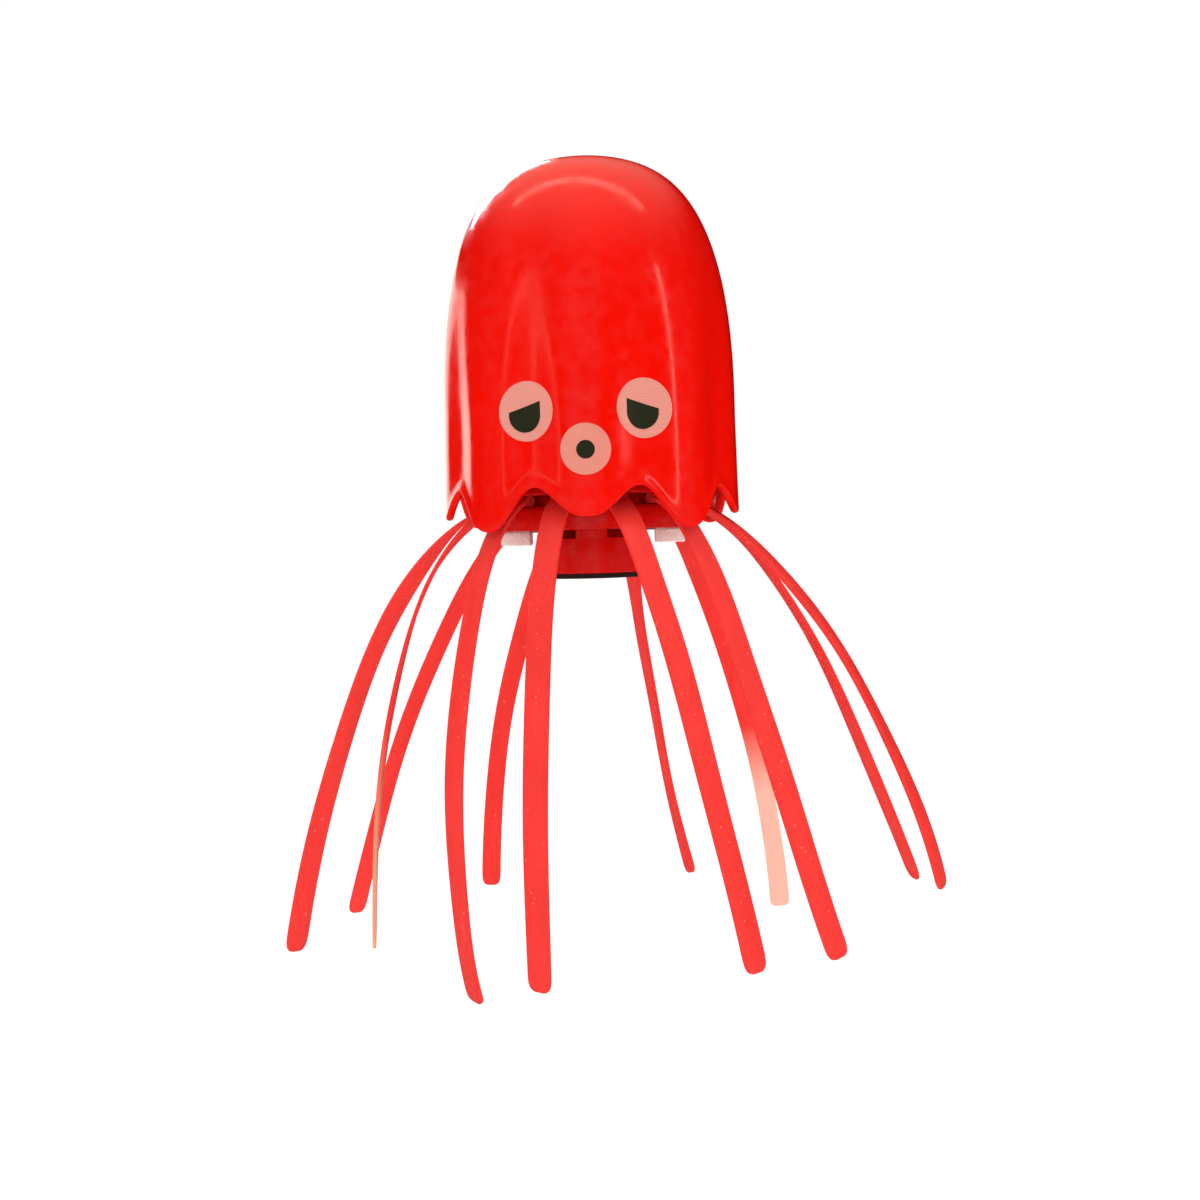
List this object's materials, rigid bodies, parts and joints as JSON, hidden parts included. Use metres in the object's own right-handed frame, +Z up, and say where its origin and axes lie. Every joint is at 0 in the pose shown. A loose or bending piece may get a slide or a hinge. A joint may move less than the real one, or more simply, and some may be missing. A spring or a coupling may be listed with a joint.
{
  "type": "swimming octopus toy",
  "caption": "Glossy fluted dome head with a printed sad face, soft strips clamped in a ring below, and a sealed battery capsule that drives a small ducted impeller.",
  "frame": {"origin": "centre of the underside of the hub, on the axis of the head", "axes": "+Z up along the axis of the head, -Y towards the front of the face, +X to the viewer's right when facing the face"},
  "size_m": [0.1282, 0.0898, 0.1613],
  "materials": {
    "head_red": "high gloss moulded",
    "base_red": "gloss moulded",
    "strip_red": "soft satin elastomer",
    "eye_print": "pad print",
    "mouth_print": "pad print",
    "pupil_print": "pad print",
    "guard_black": "satin moulded",
    "float_foam": "closed-cell foam",
    "screw_steel": "zinc plated",
    "contact_gold": "bright",
    "capsule_plastic": "moulded",
    "seal_rubber": "matte",
    "ballast_steel": "turned",
    "bush_bronze": "sintered",
    "impeller_white": "moulded",
    "shaft_steel": "ground",
    "gear_white": "acetal",
    "motor_steel": "drawn and plated",
    "plate_blue": "moulded",
    "board_green": "solder mask",
    "lead_sleeve": "soft sleeve",
    "cell_steel": "nickel plated",
    "cap_orange": "moulded"
  },
  "bodies": {
    "capsule": {"capsule_base": "base_red", "capsule_cover": "capsule_plastic", "clamp_disc": "base_red", "hub": "base_red", "outlet_guard": "guard_black", "float_pad_left": "float_foam", "float_pad_right": "float_foam", "clamp_screws": "screw_steel", "water_contacts": "contact_gold", "capsule_o_ring": "seal_rubber", "ballast_ring": "ballast_steel", "lower_bush": "bush_bronze", "upper_bush": "bush_bronze", "shaft_seal": "seal_rubber", "motor_can": "motor_steel", "motor_end_cap": "gear_white", "gear_plate": "plate_blue", "plate_screws": "screw_steel", "circuit_board": "board_green", "motor_leads": "lead_sleeve", "cell_sleeve": "guard_black", "button_cells": "cell_steel", "contact_spring": "contact_gold"},
    "head": {"head_shell": "head_red", "eye_left": "eye_print", "eye_right": "eye_print", "pupil_left": "pupil_print", "pupil_right": "pupil_print", "mouth_disc": "mouth_print", "mouth_dot": "pupil_print"},
    "rotor": {"drive_gear": "gear_white", "impeller": "impeller_white", "impeller_shaft": "shaft_steel"},
    "pinion": {"motor_pinion": "contact_gold", "motor_shaft": "shaft_steel"},
    "cap": {"battery_cap": "cap_orange", "contact_plate": "contact_gold", "cap_o_ring": "seal_rubber"},
    "strip_01": {"tentacle_01": "strip_red"},
    "strip_02": {"tentacle_02": "strip_red"},
    "strip_03": {"tentacle_03": "strip_red"},
    "strip_04": {"tentacle_04": "strip_red"},
    "strip_05": {"tentacle_05": "strip_red"},
    "strip_06": {"tentacle_06": "strip_red"},
    "strip_07": {"tentacle_07": "strip_red"},
    "strip_08": {"tentacle_08": "strip_red"},
    "strip_09": {"tentacle_09": "strip_red"},
    "strip_10": {"tentacle_10": "strip_red"},
    "strip_11": {"tentacle_11": "strip_red"},
    "strip_12": {"tentacle_12": "strip_red"}
  },
  "joints": [
    {"name": "head_lift", "type": "slide", "parent": "capsule", "child": "head", "axis": [0, 0, 1], "range_m": [0, 0.07]},
    {"name": "battery_cap_turn", "type": "hinge", "parent": "capsule", "child": "cap", "pos_m": [0, 0, 0.067], "axis": [0, 0, 1], "range_deg": [0, 60]},
    {"name": "impeller_spin", "type": "hinge", "parent": "capsule", "child": "rotor", "pos_m": [0, 0, 0.005], "axis": [0, 0, 1], "continuous": true},
    {"name": "motor_spin", "type": "hinge", "parent": "capsule", "child": "pinion", "pos_m": [0, 0.008, 0.025], "axis": [0, 0, 1], "continuous": true},
    {"name": "strip_bend_01", "type": "hinge", "parent": "capsule", "child": "strip_01", "pos_m": [-0.01777, -0.00476, 0.01525], "axis": [-0.2588, 0.9659, 0], "range_deg": [-12, 4], "stiffness_Nm_per_rad": 0.006, "springref_deg": 1.15},
    {"name": "strip_bend_02", "type": "hinge", "parent": "capsule", "child": "strip_02", "pos_m": [-0.01777, 0.00476, 0.01525], "axis": [0.2588, 0.9659, 0], "range_deg": [-12, 6], "stiffness_Nm_per_rad": 0.006, "springref_deg": 1.15},
    {"name": "strip_bend_03", "type": "hinge", "parent": "capsule", "child": "strip_03", "pos_m": [-0.01301, 0.01301, 0.01525], "axis": [0.7071, 0.7071, 0], "range_deg": [-12, 10], "stiffness_Nm_per_rad": 0.006, "springref_deg": 1.15},
    {"name": "strip_bend_04", "type": "hinge", "parent": "capsule", "child": "strip_04", "pos_m": [-0.01301, -0.01301, 0.01525], "axis": [-0.7071, 0.7071, 0], "range_deg": [-12, 4], "stiffness_Nm_per_rad": 0.006, "springref_deg": 1.15},
    {"name": "strip_bend_05", "type": "hinge", "parent": "capsule", "child": "strip_05", "pos_m": [-0.00476, 0.01777, 0.01525], "axis": [0.9659, 0.2588, 0], "range_deg": [-12, 4], "stiffness_Nm_per_rad": 0.006, "springref_deg": 1.15},
    {"name": "strip_bend_06", "type": "hinge", "parent": "capsule", "child": "strip_06", "pos_m": [-0.00476, -0.01777, 0.01525], "axis": [-0.9659, 0.2588, 0], "range_deg": [-12, 12], "stiffness_Nm_per_rad": 0.006, "springref_deg": 1.15},
    {"name": "strip_bend_07", "type": "hinge", "parent": "capsule", "child": "strip_07", "pos_m": [0.00476, 0.01777, 0.01525], "axis": [0.9659, -0.2588, 0], "range_deg": [-12, 4], "stiffness_Nm_per_rad": 0.006, "springref_deg": 1.15},
    {"name": "strip_bend_08", "type": "hinge", "parent": "capsule", "child": "strip_08", "pos_m": [0.00476, -0.01777, 0.01525], "axis": [-0.9659, -0.2588, 0], "range_deg": [-12, 12], "stiffness_Nm_per_rad": 0.006, "springref_deg": 1.15},
    {"name": "strip_bend_09", "type": "hinge", "parent": "capsule", "child": "strip_09", "pos_m": [0.01301, 0.01301, 0.01525], "axis": [0.7071, -0.7071, 0], "range_deg": [-12, 10], "stiffness_Nm_per_rad": 0.006, "springref_deg": 1.15},
    {"name": "strip_bend_10", "type": "hinge", "parent": "capsule", "child": "strip_10", "pos_m": [0.01301, -0.01301, 0.01525], "axis": [-0.7071, -0.7071, 0], "range_deg": [-12, 4], "stiffness_Nm_per_rad": 0.006, "springref_deg": 1.15},
    {"name": "strip_bend_11", "type": "hinge", "parent": "capsule", "child": "strip_11", "pos_m": [0.01777, 0.00476, 0.01525], "axis": [0.2588, -0.9659, 0], "range_deg": [-12, 6], "stiffness_Nm_per_rad": 0.006, "springref_deg": 1.15},
    {"name": "strip_bend_12", "type": "hinge", "parent": "capsule", "child": "strip_12", "pos_m": [0.01777, -0.00476, 0.01525], "axis": [-0.2588, -0.9659, 0], "range_deg": [-12, 4], "stiffness_Nm_per_rad": 0.006, "springref_deg": 1.15}
  ],
  "couplings": [
    {"joint": "motor_spin", "follows": "impeller_spin", "ratio": -3}
  ]
}
